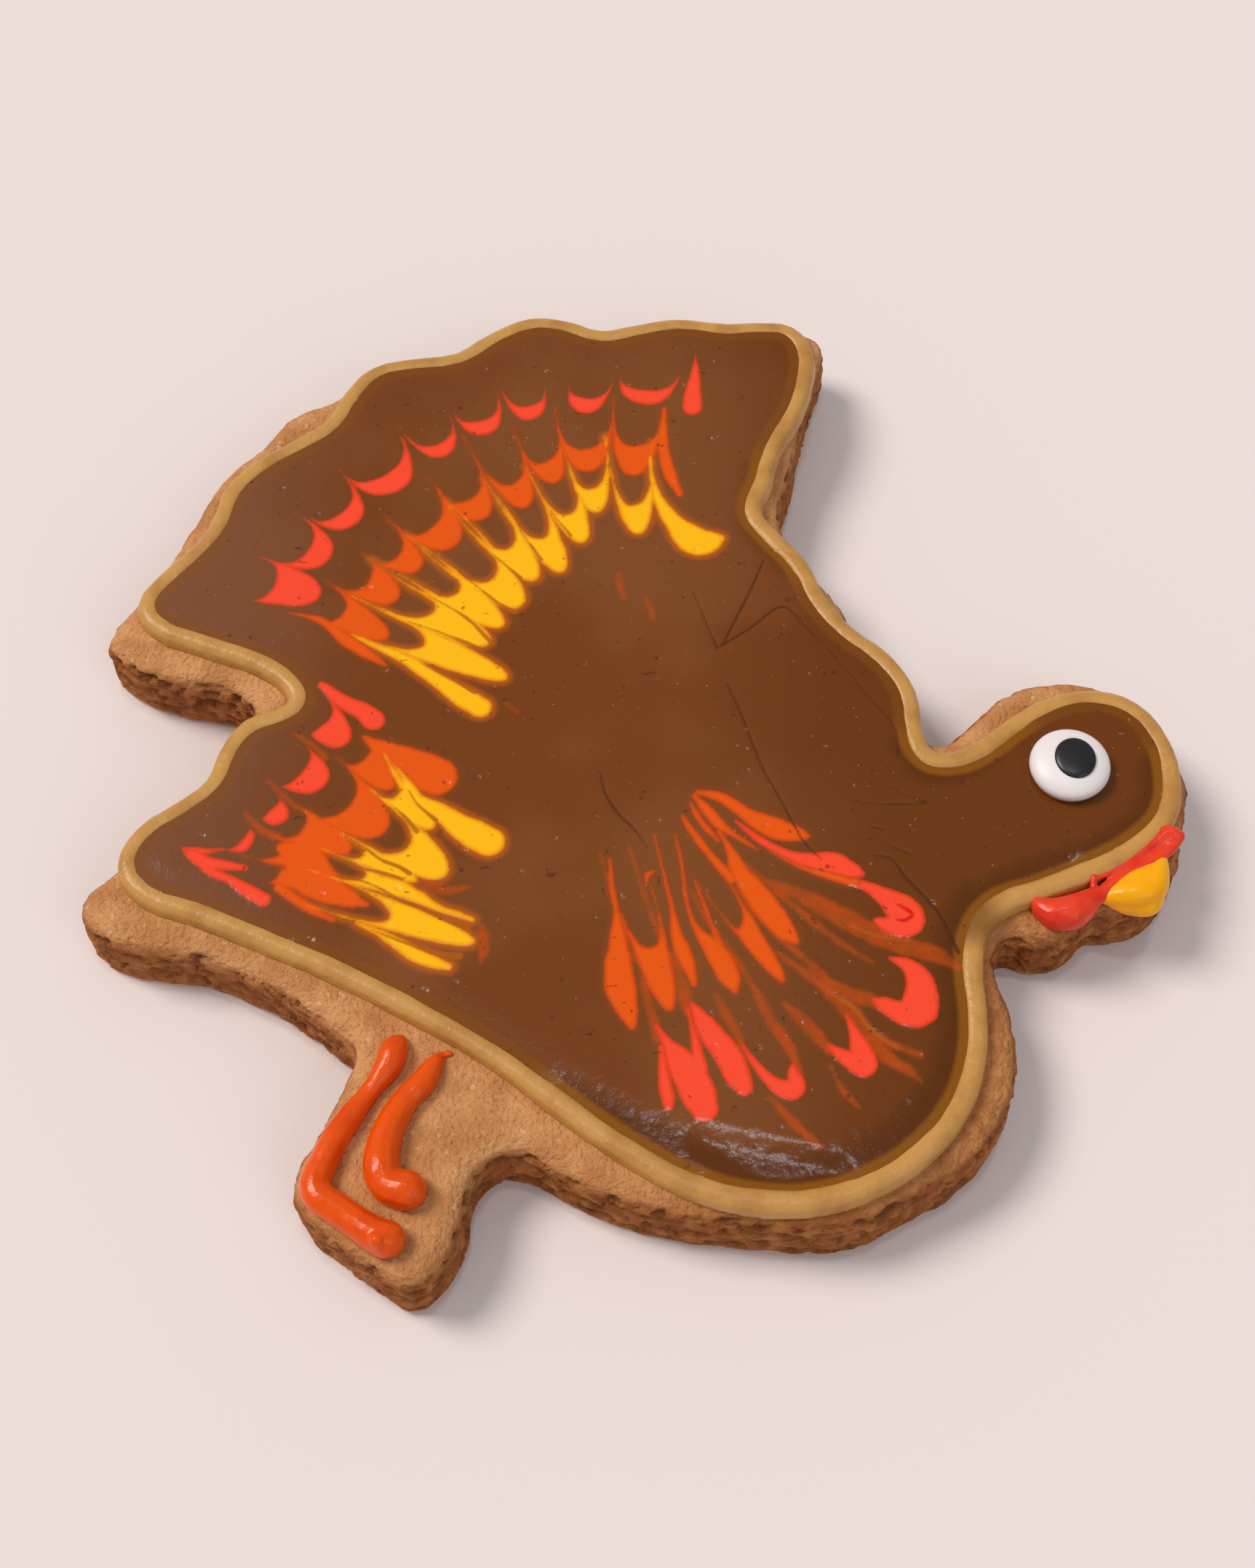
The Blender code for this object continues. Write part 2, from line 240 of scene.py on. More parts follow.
def remap(tree, value, start, end, low=0.0, high=1.0):
    """Smooth ramp of a value from start to end, giving low to high."""
    ramp = node_of(tree, "ShaderNodeMapRange", interpolation_type="SMOOTHSTEP")
    ramp.inputs["From Min"].default_value = start
    ramp.inputs["From Max"].default_value = end
    ramp.inputs["To Min"].default_value = low
    ramp.inputs["To Max"].default_value = high
    tree.links.new(value, ramp.inputs["Value"])
    return ramp.outputs["Result"]


def grain(tree, per_mm, detail=2.0):
    """Noise over the piece's own coordinates, with a scale in waves per millimetre."""
    place = node_of(tree, "ShaderNodeTexCoord").outputs["Object"]
    texture = node_of(tree, "ShaderNodeTexNoise")
    texture.inputs["Scale"].default_value = per_mm / MM
    texture.inputs["Detail"].default_value = detail
    tree.links.new(place, texture.inputs["Vector"])
    return texture.outputs["Fac"]


def closeness(tree, place, inner, outer):
    """1 within the inner distance, in millimetres, of a place on the cookie, and 0 past the outer."""
    here = node_of(tree, "ShaderNodeTexCoord").outputs["Object"]
    gap = node_of(tree, "ShaderNodeVectorMath", operation="DISTANCE")
    gap.inputs[1].default_value = [value * MM for value in place]
    tree.links.new(here, gap.inputs[0])
    return remap(tree, gap.outputs["Value"], outer * MM, inner * MM)


def along(tree, axis, start, end):
    """Smooth ramp over a stretch of the cookie's X or Y axis, in millimetres."""
    here = node_of(tree, "ShaderNodeSeparateXYZ")
    tree.links.new(node_of(tree, "ShaderNodeTexCoord").outputs["Object"], here.inputs[0])
    return remap(tree, here.outputs[axis], start * MM, end * MM)


def product(tree, first, second):
    """First times second, each a float or a socket."""
    multiply = node_of(tree, "ShaderNodeMath", operation="MULTIPLY")
    for socket, value in zip(multiply.inputs, (first, second)):
        if isinstance(value, float):
            socket.default_value = value
        else:
            tree.links.new(value, socket)
    return multiply.outputs["Value"]


def layer(tree, below, above, factor):
    """Colour above laid over colour below by a factor; each is a colour or a socket."""
    mix = node_of(tree, "ShaderNodeMix", data_type="RGBA")
    for socket, value in ((mix.inputs[0], factor), (mix.inputs[6], below), (mix.inputs[7], above)):
        if isinstance(value, (tuple, float)):
            socket.default_value = value
        else:
            tree.links.new(value, socket)
    return mix.outputs[2]


def bump(tree, shader, height, depth):
    """Fine relief of the given depth in millimetres."""
    relief = node_of(tree, "ShaderNodeBump")
    relief.inputs["Distance"].default_value = depth * MM
    tree.links.new(height, relief.inputs["Height"])
    tree.links.new(relief.outputs["Normal"], shader.inputs["Normal"])


# ---------------------------------------------------------------------------- materials

def biscuit_material():
    """Sandy crumb on the top, browned and darker towards the sides and the foot; painted shade darkens the
    pits, the cracks and the margins sloping away from the light at the lower right and the near end.
    """
    material, tree, shader = new_material("baked_biscuit")
    crumb = layer(tree, srgb(200, 134, 80), srgb(222, 158, 102), remap(tree, grain(tree, 0.25), 0.35, 0.65))
    crumb = layer(tree, crumb, srgb(192, 128, 74), remap(tree, grain(tree, 2.2, 5.0), 0.52, 0.72, 0.0, 0.7))
    crumb = layer(tree, crumb, srgb(250, 204, 150), remap(tree, grain(tree, 1.1, 5.0), 0.6, 0.75, 0.0, 0.6))
    crust = layer(tree, srgb(158, 88, 40), srgb(194, 124, 66), remap(tree, grain(tree, 0.6, 5.0), 0.35, 0.7))
    # The browning attribute also holds painted shade on the lower right margins and the near end.
    colour = layer(tree, crumb, crust, attribute(tree, "browning_and_painted_shade"))
    # Painted shade in the pits, cracks and sunk layers of the side.
    colour = layer(tree, colour, srgb(128, 72, 36), attribute(tree, "pit_dents_and_shade"))
    tree.links.new(colour, shader.inputs["Base Color"])
    shader.inputs["Roughness"].default_value = 0.8
    shader.inputs["Specular IOR Level"].default_value = 0.2
    bump(tree, shader, grain(tree, 2.0, 8.0), 0.6)
    return material


def plain_icing(name, colour, darker, roughness):
    """Squeezed icing of one colour, with a faint mottle and a fine relief."""
    material, tree, shader = new_material(name)
    shade = layer(tree, colour, darker, remap(tree, grain(tree, 0.35, 3.0), 0.4, 0.7))
    tree.links.new(shade, shader.inputs["Base Color"])
    shader.inputs["Roughness"].default_value = roughness
    shader.inputs["Specular IOR Level"].default_value = ICING_SHINE
    bump(tree, shader, grain(tree, 1.2, 4.0), 0.05)
    return material


def border_material():
    """Tan border icing, smeared with the brown where the flood ran over it under the neck."""
    material, tree, shader = new_material("tan_icing")
    shade = layer(tree, srgb(200, 146, 76), srgb(184, 128, 64), remap(tree, grain(tree, 0.3, 4.0), 0.4, 0.7))
    smear = closeness(tree, NECK_SMEAR, 1.2, 4.0)
    shade = layer(tree, shade, srgb(118, 72, 16), product(tree, smear, 0.8))
    tree.links.new(shade, shader.inputs["Base Color"])
    shader.inputs["Roughness"].default_value = 0.3
    shader.inputs["Specular IOR Level"].default_value = ICING_SHINE
    bump(tree, shader, grain(tree, 1.4, 5.0), 0.1)
    return material


def sugar_material(name, colour, roughness):
    material, tree, shader = new_material(name)
    shader.inputs["Base Color"].default_value = colour
    shader.inputs["Roughness"].default_value = roughness
    return material


def flood_material():
    """Brown icing with feathers of red, orange and yellow drawn into it while it was wet."""
    material, tree, shader = new_material("marbled_icing")
    clouds = remap(tree, grain(tree, 0.035, 3.0), 0.42, 0.6)
    colour = layer(tree, srgb(117, 60, 15), srgb(127, 71, 30), clouds)
    colour = layer(tree, colour, srgb(104, 50, 0), product(tree, along(tree, "X", 2.0, 26.0), 0.85))
    # Painted sheen: the brown turns lighter and greyer towards the tail end.
    colour = layer(tree, colour, srgb(124, 76, 50), product(tree, along(tree, "X", -26.0, -44.0), 0.7))
    pool = remap(tree, attribute(tree, "pool_distance"), 1.6, -1.2, 0.0, 0.9)
    colour = layer(tree, colour, srgb(88, 42, 0), pool)
    bleed = product(tree, remap(tree, attribute(tree, "rim_distance"), 0.7, 0.1),
                    remap(tree, attribute(tree, "pool_distance"), 3.0, -0.5, 0.3, 0.85))
    colour = layer(tree, colour, srgb(140, 82, 6), bleed)
    orange_halo = remap(tree, attribute(tree, "orange_distance"), 0.0, 0.7, 0.45, 0.0)
    colour = layer(tree, colour, srgb(146, 66, 14), orange_halo)
    yellow_halo = remap(tree, attribute(tree, "yellow_distance"), 0.0, 0.9, 0.8, 0.0)
    colour = layer(tree, colour, srgb(190, 92, 6), yellow_halo)
    strands = remap(tree, attribute(tree, "rust_distance"), 0.25, -0.4, 0.0, 0.9)
    streaks = remap(tree, grain(tree, 0.5, 4.0), 0.3, 0.7, 0.6, 1.0)
    colour = layer(tree, colour, srgb(184, 72, 4), product(tree, strands, streaks))
    for name, body, rim in (
        ("red", srgb(250, 74, 44), srgb(226, 60, 22)),
        ("orange", srgb(232, 86, 0), srgb(208, 72, 0)),
        ("yellow", srgb(255, 186, 6), srgb(240, 148, 0)),
    ):
        distance = attribute(tree, name + "_distance")
        inside = layer(tree, rim, body, remap(tree, distance, -0.05, -0.45))
        colour = layer(tree, colour, inside, remap(tree, distance, 0.14, -0.14))
    mark = attribute(tree, "mark_distance")
    colour = layer(tree, colour, srgb(212, 8, 0), remap(tree, mark, 0.14, -0.08, 0.0, 0.9))
    line = attribute(tree, "line_distance")
    colour = layer(tree, colour, srgb(176, 88, 4), remap(tree, line, 0.14, -0.08, 0.0, 0.85))
    # Painted shade darkens the scored and cracked lines.
    crack = attribute(tree, "crack_distance")
    colour = layer(tree, colour, srgb(74, 34, 4), remap(tree, crack, 0.14, -0.06, 0.0, 0.75))
    # Painted shade of fine pinholes, as small dark specks.
    painted_pinhole_shade = remap(tree, grain(tree, 1.1, 2.0), 0.70, 0.75, 0.0, 0.6)
    colour = layer(tree, colour, srgb(74, 32, 4), painted_pinhole_shade)
    pale_specks = remap(tree, grain(tree, 1.5, 2.0), 0.735, 0.77, 0.0, 0.5)
    colour = layer(tree, colour, srgb(196, 132, 86), pale_specks)
    tree.links.new(colour, shader.inputs["Base Color"])
    shader.inputs["Roughness"].default_value = 0.19
    shader.inputs["Specular IOR Level"].default_value = ICING_SHINE
    bump(tree, shader, grain(tree, 1.3, 5.0), 0.05)
    return material


# ---------------------------------------------------------------------------- drawn shapes

def half_curve(cusp, bottom, direction):
    """One side of a feather's edge, from a cusp down to the bottom of its bow."""
    chord = bottom - cusp
    drop = chord @ direction
    across = chord - drop * direction
    handle_in = cusp + 0.7 * drop * direction
    handle_out = bottom - 0.6 * across
    steps = np.linspace(0.0, 1.0, 9)[:, None]
    rest = 1.0 - steps
    return (rest ** 3 * cusp + 3.0 * rest ** 2 * steps * handle_in
            + 3.0 * rest * steps ** 2 * handle_out + steps ** 3 * bottom)


def feather_outline(first, second, hollow, belly):
    """Closed crescent between two cusps, with its hollow side and its belly side."""
    first, second, hollow, belly = (np.array(point) for point in (first, second, hollow, belly))
    direction = belly - (first + second) / 2.0
    direction /= np.linalg.norm(direction)
    runs = [
        half_curve(first, hollow, direction),
        half_curve(second, hollow, direction)[::-1][1:],
        half_curve(second, belly, direction)[1:],
        half_curve(first, belly, direction)[::-1][1:-1],
    ]
    return np.concatenate(runs)


def segment_distance(points, start, end):
    """Distance of each point to a segment, and how far along the segment its foot lies."""
    along = end - start
    part = np.clip(((points - start) @ along) / max(along @ along, 1e-9), 0.0, 1.0)
    return np.linalg.norm(points - start - part[:, None] * along, axis=1), part


def outline_distance(points, outline):
    """Distance to a closed outline, negative inside it."""
    nearest = np.full(len(points), np.inf)
    inside = np.zeros(len(points), dtype=bool)
    for start, end in zip(outline, np.roll(outline, -1, axis=0)):
        nearest = np.minimum(nearest, segment_distance(points, start, end)[0])
        crosses = (start[1] > points[:, 1]) != (end[1] > points[:, 1])
        if abs(end[1] - start[1]) > 1e-12:
            reach = start[0] + (points[:, 1] - start[1]) * (end[0] - start[0]) / (end[1] - start[1])
            inside ^= crosses & (points[:, 0] < reach)
    return np.where(inside, -nearest, nearest)


def smooth_path(stations, steps=4):
    """Stations joined by a Catmull-Rom curve, with some steps between two stations."""
    known = np.array(stations, dtype=float)
    known = np.concatenate([[2.0 * known[0] - known[1]], known, [2.0 * known[-1] - known[-2]]])
    path = [known[1]]
    for before, here, ahead, after in zip(known, known[1:], known[2:], known[3:]):
        for step in range(1, steps + 1):
            part = step / steps
            path.append(0.5 * (2.0 * here + (ahead - before) * part
                               + (2.0 * before - 5.0 * here + 4.0 * ahead - after) * part ** 2
                               + (3.0 * here - before - 3.0 * ahead + after) * part ** 3))
    return np.array(path)


def stroke_distance(points, stroke):
    """Distance to a brush stroke of (x, y, half width) stations, negative inside it."""
    nearest = np.full(len(points), np.inf)
    for start, end in zip(stroke, stroke[1:]):
        reach, part = segment_distance(points, start[:2], end[:2])
        nearest = np.minimum(nearest, reach - (start[2] + part * (end[2] - start[2])))
    return nearest


def near(points, corners, margin):
    low = corners.min(axis=0) - margin
    high = corners.max(axis=0) + margin
    return np.all((points > low) & (points < high), axis=1)


def drawn_distance(points, feathers, strokes):
    """Distance to the nearest of some feathers and brush strokes."""
    result = np.full(len(points), FAR)
    for feather in feathers:
        outline = feather_outline(*feather)
        close = near(points, outline, DRAWN_MARGIN)
        result[close] = np.minimum(result[close], outline_distance(points[close], outline))
    for stroke in strokes:
        path = smooth_path(stroke)
        close = near(points, path[:, :2], DRAWN_MARGIN + path[:, 2].max())
        result[close] = np.minimum(result[close], stroke_distance(points[close], path))
    return result


# ---------------------------------------------------------------------------- marbling

# Feathers: two cusps, the bottom of the hollow side and the bottom of the belly side.
RED_FEATHERS = [
    # tail fan, from its lower left round to the top right
    ((-40.1, 16.0), (-39.3, 21.4), (-37.3, 17.7), (-32.4, 16.5)),
    ((-39.3, 21.4), (-36.0, 27.0), (-34.2, 22.0), (-31.8, 21.0)),
    ((-34.2, 26.4), (-31.9, 33.0), (-31.0, 27.0), (-29.3, 25.6)),
    ((-31.5, 32.8), (-25.7, 38.0), (-27.3, 31.6), (-25.2, 29.8)),
    ((-25.5, 38.7), (-20.3, 40.4), (-21.4, 36.1), (-20.5, 34.5)),
    ((-19.8, 40.7), (-15.4, 44.4), (-16.5, 39.4), (-15.9, 37.5)),
    ((-15.1, 45.4), (-10.0, 44.1), (-11.8, 41.4), (-11.4, 39.5)),
    ((-7.2, 44.2), (-2.4, 45.4), (-5.4, 42.5), (-5.6, 40.4)),
    ((-1.6, 45.6), (4.9, 46.2), (0.5, 43.7), (0.8, 41.6)),
    # lower tail, from its upper right down to the corner
    ((-32.2, -0.4), (-31.9, 5.4), (-30.8, 1.2), (-28.5, -1.3)),
    ((-34.7, -6.1), (-32.5, -1.8), (-32.8, -4.6), (-30.4, -6.1)),
    ((-36.1, -10.0), (-34.9, -7.3), (-35.3, -8.7), (-34.0, -10.1)),
    ((-40.0, -13.0), (-37.3, -11.0), (-38.0, -12.2), (-37.1, -12.9)),
]
ORANGE_FEATHERS = [
    ((-32.6, 13.6), (-32.0, 18.2), (-30.1, 14.0), (-25.2, 11.2)),
    ((-32.0, 18.2), (-28.4, 21.7), (-28.0, 17.7), (-24.5, 15.8)),
    ((-28.3, 21.6), (-26.5, 26.6), (-25.1, 21.0), (-22.4, 19.7)),
    ((-26.2, 26.0), (-22.4, 32.0), (-21.8, 24.7), (-18.8, 22.7)),
    ((-21.0, 29.5), (-18.7, 37.4), (-17.5, 28.8), (-15.9, 26.2)),
    ((-18.6, 37.5), (-13.4, 38.7), (-13.3, 30.7), (-11.6, 27.6)),
    ((-13.3, 38.5), (-8.8, 40.5), (-10.1, 33.6), (-8.6, 30.9)),
    ((-8.7, 41.3), (-2.5, 42.6), (-5.7, 35.5), (-5.1, 32.4)),
    ((-2.3, 42.4), (3.2, 41.1), (-0.4, 36.0), (-0.4, 31.9)),
    ((-29.1, -3.2), (-26.6, -0.6), (-27.0, -3.3), (-23.8, -6.5)),
    ((-33.3, -8.3), (-29.5, -3.0), (-28.1, -8.6), (-24.2, -11.3)),
    ((-36.2, -11.2), (-33.5, -8.0), (-32.2, -11.0), (-27.4, -13.4)),
    ((-37.7, -13.9), (-36.0, -11.3), (-33.9, -13.1), (-29.5, -15.0)),
    ((-35.3, -16.7), (-36.8, -14.1), (-34.0, -15.5), (-25.3, -19.2)),
    # wing
    ((-2.2, -17.8), (1.0, -15.8), (1.5, -23.6), (3.1, -30.1)),
    ((4.9, -15.3), (7.7, -15.0), (9.5, -21.6), (13.6, -27.2)),
]
YELLOW_FEATHERS = [
    ((-30.0, 12.2), (-29.4, 16.5), (-21.5, 10.4), (-12.9, 6.3)),
    ((-29.4, 16.4), (-27.5, 21.0), (-20.6, 14.6), (-14.8, 10.5)),
    ((-27.2, 20.5), (-24.1, 24.2), (-18.3, 16.8), (-13.5, 12.6)),
    ((-23.7, 23.7), (-20.0, 28.6), (-14.8, 18.5), (-11.7, 15.1)),
    ((-19.7, 27.8), (-16.1, 31.3), (-13.2, 22.4), (-10.3, 18.3)),
    ((-16.2, 31.5), (-11.8, 33.1), (-9.7, 23.7), (-7.6, 19.3)),
    ((-11.7, 33.0), (-7.9, 35.6), (-7.0, 26.8), (-5.5, 23.1)),
    ((-7.6, 35.5), (-3.4, 37.2), (-4.8, 30.1), (-4.1, 27.0)),
    ((-3.2, 37.4), (1.6, 36.4), (-0.4, 27.9), (0.2, 24.2)),
    ((-26.7, -5.8), (-24.9, -2.4), (-23.5, -7.4), (-19.6, -10.9)),
    ((-29.1, -11.0), (-26.7, -5.8), (-22.0, -13.0), (-18.1, -16.0)),
    ((-30.5, -12.9), (-29.1, -11.0), (-26.2, -13.9), (-20.9, -16.6)),
    ((-31.3, -15.4), (-30.4, -13.1), (-25.8, -16.1), (-22.6, -17.6)),
    ((-31.5, -19.1), (-30.6, -15.7), (-23.3, -20.6), (-15.2, -23.1)),
]

# Brush strokes: (x, y, half width).
RED_STROKES = [
    [(6.6, 48.6, 0.05), (6.5, 45.6, 0.55), (6.2, 43.4, 0.9), (6.1, 41.3, 1.1)],
    [(-31.6, 5.6, 0.4), (-30.6, 4.7, 0.6), (-29.0, 3.4, 0.8), (-27.2, 2.4, 1.05), (-26.1, 1.4, 1.15)],
    [(-43.6, -13.1, 0.15), (-42.6, -13.8, 0.55), (-41.4, -14.6, 0.75), (-39.6, -14.9, 0.55),
     (-37.4, -15.2, 0.3)],
    [(-42.0, -14.6, 0.4), (-40.4, -15.7, 0.5), (-38.5, -16.6, 0.5), (-36.7, -17.8, 0.7),
     (-35.4, -18.6, 0.75)],
    [(-43.4, -13.1, 0.2), (-41.5, -13.4, 0.3), (-39.7, -13.2, 0.12)],
    # wing
    [(9.5, -10.0, 0.1), (10.9, -11.3, 0.3), (12.1, -12.3, 0.4), (14.0, -13.5, 0.5),
     (16.3, -14.4, 0.85), (18.7, -14.8, 1.3), (20.3, -15.4, 0.95), (21.4, -15.8, 0.35)],
    [(20.1, -16.6, 0.3), (21.8, -17.2, 0.55), (23.4, -18.2, 0.95), (25.0, -19.6, 1.6),
     (25.4, -20.9, 1.65), (23.8, -21.3, 0.9), (22.6, -20.8, 0.35)],
    [(23.6, -24.7, 0.2), (25.4, -25.6, 0.8), (26.3, -27.4, 1.35), (26.0, -29.8, 1.75),
     (24.5, -30.3, 1.2), (22.9, -29.5, 0.8), (21.9, -29.0, 0.3)],
    [(19.3, -30.6, 0.15), (19.9, -32.3, 0.55), (20.4, -34.2, 1.1), (20.6, -35.4, 1.2),
     (19.4, -34.9, 0.9), (18.2, -34.1, 0.5), (17.4, -33.4, 0.15)],
    [(9.6, -33.5, 0.15), (10.6, -35.1, 0.35), (12.1, -37.0, 0.6), (13.5, -37.8, 1.0),
     (14.3, -37.5, 0.95), (14.1, -36.1, 0.5), (14.2, -35.4, 0.2)],
    [(5.1, -29.5, 0.35), (6.5, -31.9, 1.1), (8.2, -34.4, 1.25), (9.1, -36.5, 1.2), (9.6, -37.6, 0.8)],
    [(1.8, -31.7, 0.25), (2.9, -33.5, 0.6), (4.1, -35.3, 1.4), (5.3, -37.7, 1.65), (6.0, -39.6, 1.3)],
    [(4.6, -29.7, 0.15), (5.3, -33.0, 0.4), (5.6, -35.8, 0.8)],
    [(2.2, -33.7, 0.3), (2.4, -36.5, 0.55), (2.7, -38.3, 0.65), (2.8, -39.3, 0.5)],
]
ORANGE_STROKES = [
    [(-35.5, 14.3, 0.1), (-33.8, 13.9, 0.2), (-32.3, 13.4, 0.4), (-30.8, 12.3, 0.55),
     (-29.2, 10.8, 0.75), (-27.2, 9.3, 0.6), (-25.3, 7.9, 0.2)],
    [(3.1, 41.1, 0.15), (2.9, 37.3, 0.6), (3.1, 34.3, 0.65), (3.7, 31.8, 0.7), (4.6, 29.5, 0.35)],
    [(-26.9, -0.6, 0.3), (-25.0, -2.0, 1.0), (-23.0, -3.2, 1.6), (-21.0, -4.4, 2.1), (-19.6, -5.1, 2.1)],
    [(-34.0, -13.0, 0.6), (-32.0, -14.0, 1.8), (-31.2, -15.8, 2.2), (-29.0, -17.6, 1.5),
     (-27.0, -18.6, 0.9)],
    [(-34.0, -17.3, 0.5), (-32.0, -18.8, 0.55), (-30.2, -19.9, 0.45), (-28.7, -20.7, 0.2)],
    # wing
    [(-2.6, -14.2, 0.12), (-2.4, -17.0, 0.25), (-2.0, -19.6, 0.3), (-1.8, -22.3, 0.75),
     (-1.7, -26.2, 1.4), (-1.4, -28.5, 1.35), (-0.7, -30.6, 0.8), (-0.5, -31.6, 0.35)],
    [(0.9, -17.0, 0.1), (1.0, -16.0, 0.25), (1.6, -15.6, 0.12)],
    [(1.7, -11.7, 0.08), (2.7, -16.5, 0.15), (3.4, -20.0, 0.25), (3.8, -22.7, 0.65),
     (4.6, -24.9, 0.75), (5.3, -27.3, 0.3)],
    [(3.7, -11.7, 0.1), (4.3, -14.9, 0.15), (4.7, -18.8, 0.2), (5.6, -21.7, 0.35), (7.4, -24.1, 1.05),
     (8.5, -26.4, 1.05), (9.1, -28.1, 0.3)],
    [(5.5, -16.6, 0.1), (6.8, -20.5, 0.15), (7.8, -23.4, 0.4)],
    [(7.9, -11.2, 0.2), (8.9, -13.1, 0.4), (9.8, -15.5, 0.9), (11.6, -18.4, 1.25), (13.5, -21.3, 1.15),
     (14.8, -22.9, 0.4)],
    [(4.4, -9.5, 0.15), (5.4, -11.3, 0.35), (7.1, -13.9, 0.4), (9.0, -16.4, 0.5)],
    [(5.2, -8.0, 0.15), (6.2, -10.1, 0.3), (7.8, -12.2, 0.2)],
    [(6.0, -6.9, 0.25), (7.6, -7.2, 0.5), (8.9, -7.9, 0.6), (10.9, -9.5, 0.8), (13.2, -10.8, 1.2),
     (15.1, -11.4, 0.9), (16.5, -11.7, 0.2)],
    [(5.6, -7.3, 0.25), (6.6, -8.5, 0.5), (7.7, -10.1, 0.55), (9.1, -11.4, 0.35), (11.6, -13.2, 0.08)],
    [(12.9, -13.4, 0.08), (15.6, -15.0, 0.25), (18.3, -16.0, 0.45), (20.8, -16.8, 0.45)],
]
YELLOW_STROKES = [
    [(1.5, 34.5, 0.1), (1.8, 31.0, 0.3), (2.5, 28.5, 0.6), (3.9, 25.9, 1.0), (5.8, 23.6, 1.7),
     (7.2, 23.2, 1.5), (8.8, 23.7, 0.5)],
    [(-29.0, 11.6, 0.1), (-26.6, 10.3, 0.3), (-24.5, 9.3, 0.5), (-22.4, 8.0, 0.7), (-20.6, 6.6, 0.75),
     (-18.8, 5.2, 1.0), (-17.2, 4.0, 1.15), (-15.6, 2.9, 1.15)],
    [(-24.8, -2.6, 0.08), (-24.0, -4.2, 0.2), (-22.6, -6.4, 0.4), (-20.8, -8.0, 0.65),
     (-18.6, -9.4, 1.0), (-16.4, -11.1, 1.45), (-14.3, -12.3, 1.6)],
    [(-25.0, -16.6, 0.8), (-23.0, -17.3, 0.95), (-21.0, -18.2, 0.7), (-18.8, -19.5, 0.4),
     (-16.8, -20.2, 0.3), (-15.5, -20.7, 0.2)],
    [(-26.4, -21.1, 0.15), (-24.2, -22.1, 0.35), (-22.4, -23.2, 0.6), (-20.6, -24.4, 0.75),
     (-18.8, -25.2, 0.6), (-17.6, -25.6, 0.35)],
]
# Faint dull strands.
RUST_STROKES = [
    [(-13.1, 3.4, 0.2), (-11.9, 2.4, 0.2)],
    [(-33.8, -0.2, 0.25), (-32.0, -1.5, 0.35), (-30.6, -3.0, 0.3)],
    [(-36.0, -5.7, 0.25), (-34.3, -7.4, 0.35), (-33.0, -8.5, 0.3)],
    [(-38.0, -9.2, 0.25), (-36.3, -11.0, 0.4), (-34.5, -11.8, 0.4)],
    [(-21.0, -14.9, 0.6), (-19.5, -16.9, 0.7), (-17.8, -17.6, 0.5), (-16.0, -17.2, 0.2)],
    [(-14.7, -21.5, 0.4), (-14.3, -23.5, 0.6), (-14.6, -25.0, 0.3)],
    # wing
    [(12.0, -16.5, 0.3), (15.5, -18.1, 0.8), (19.5, -20.5, 1.1), (23.5, -22.9, 1.0), (27.5, -24.2, 0.9),
     (30.0, -25.5, 0.4)],
    [(13.2, -24.2, 0.3), (16.5, -27.0, 0.55), (19.4, -29.8, 0.9), (21.9, -33.8, 0.8),
     (24.4, -35.9, 0.55), (25.6, -36.9, 0.2)],
    [(15.9, -25.7, 0.2), (19.1, -28.1, 0.75), (22.5, -29.3, 0.7)],
    [(11.0, -28.6, 0.3), (12.4, -31.3, 0.55), (13.9, -33.8, 0.55), (14.7, -36.6, 0.35)],
    [(12.0, -38.6, 0.2), (13.9, -40.9, 0.5), (16.2, -43.2, 0.35)],
    [(13.7, -29.4, 0.35), (15.6, -31.6, 0.7), (17.5, -33.9, 0.55)],
    [(3.4, -24.5, 0.4), (4.2, -28.0, 0.75), (4.7, -30.4, 0.4)],
    [(0.3, -25.6, 0.2), (1.2, -30.1, 0.5), (1.9, -32.9, 0.55)],
    [(7.3, -28.6, 0.3), (8.4, -30.9, 0.5), (9.7, -33.7, 0.35)],
    [(8.6, -13.2, 0.15), (11.6, -16.0, 0.3), (15.0, -19.4, 0.4), (18.4, -22.6, 0.35), (22.0, -25.2, 0.2)],
    [(7.4, -14.5, 0.15), (10.0, -18.4, 0.3), (13.4, -22.6, 0.35), (17.4, -26.4, 0.3)],
    [(4.4, -16.3, 0.12), (6.6, -20.6, 0.25), (9.6, -25.6, 0.35), (12.4, -30.6, 0.3)],
    [(-0.8, -12.6, 0.1), (0.6, -17.8, 0.25), (2.4, -23.2, 0.3), (4.6, -29.4, 0.3)],
    [(-3.6, -13.4, 0.1), (-2.0, -19.4, 0.2), (-0.2, -25.0, 0.3)],
    [(20.6, -31.6, 0.3), (22.8, -33.2, 0.45), (25.8, -34.4, 0.3)],
    [(17.6, -35.6, 0.15), (18.6, -38.0, 0.3), (20.0, -39.6, 0.15)],
    [(-1.9, 19.2, 0.3), (-1.6, 17.4, 0.4), (-1.2, 16.2, 0.3)],
    [(0.9, 16.4, 0.2), (1.4, 14.8, 0.35), (1.8, 13.2, 0.2)],
]
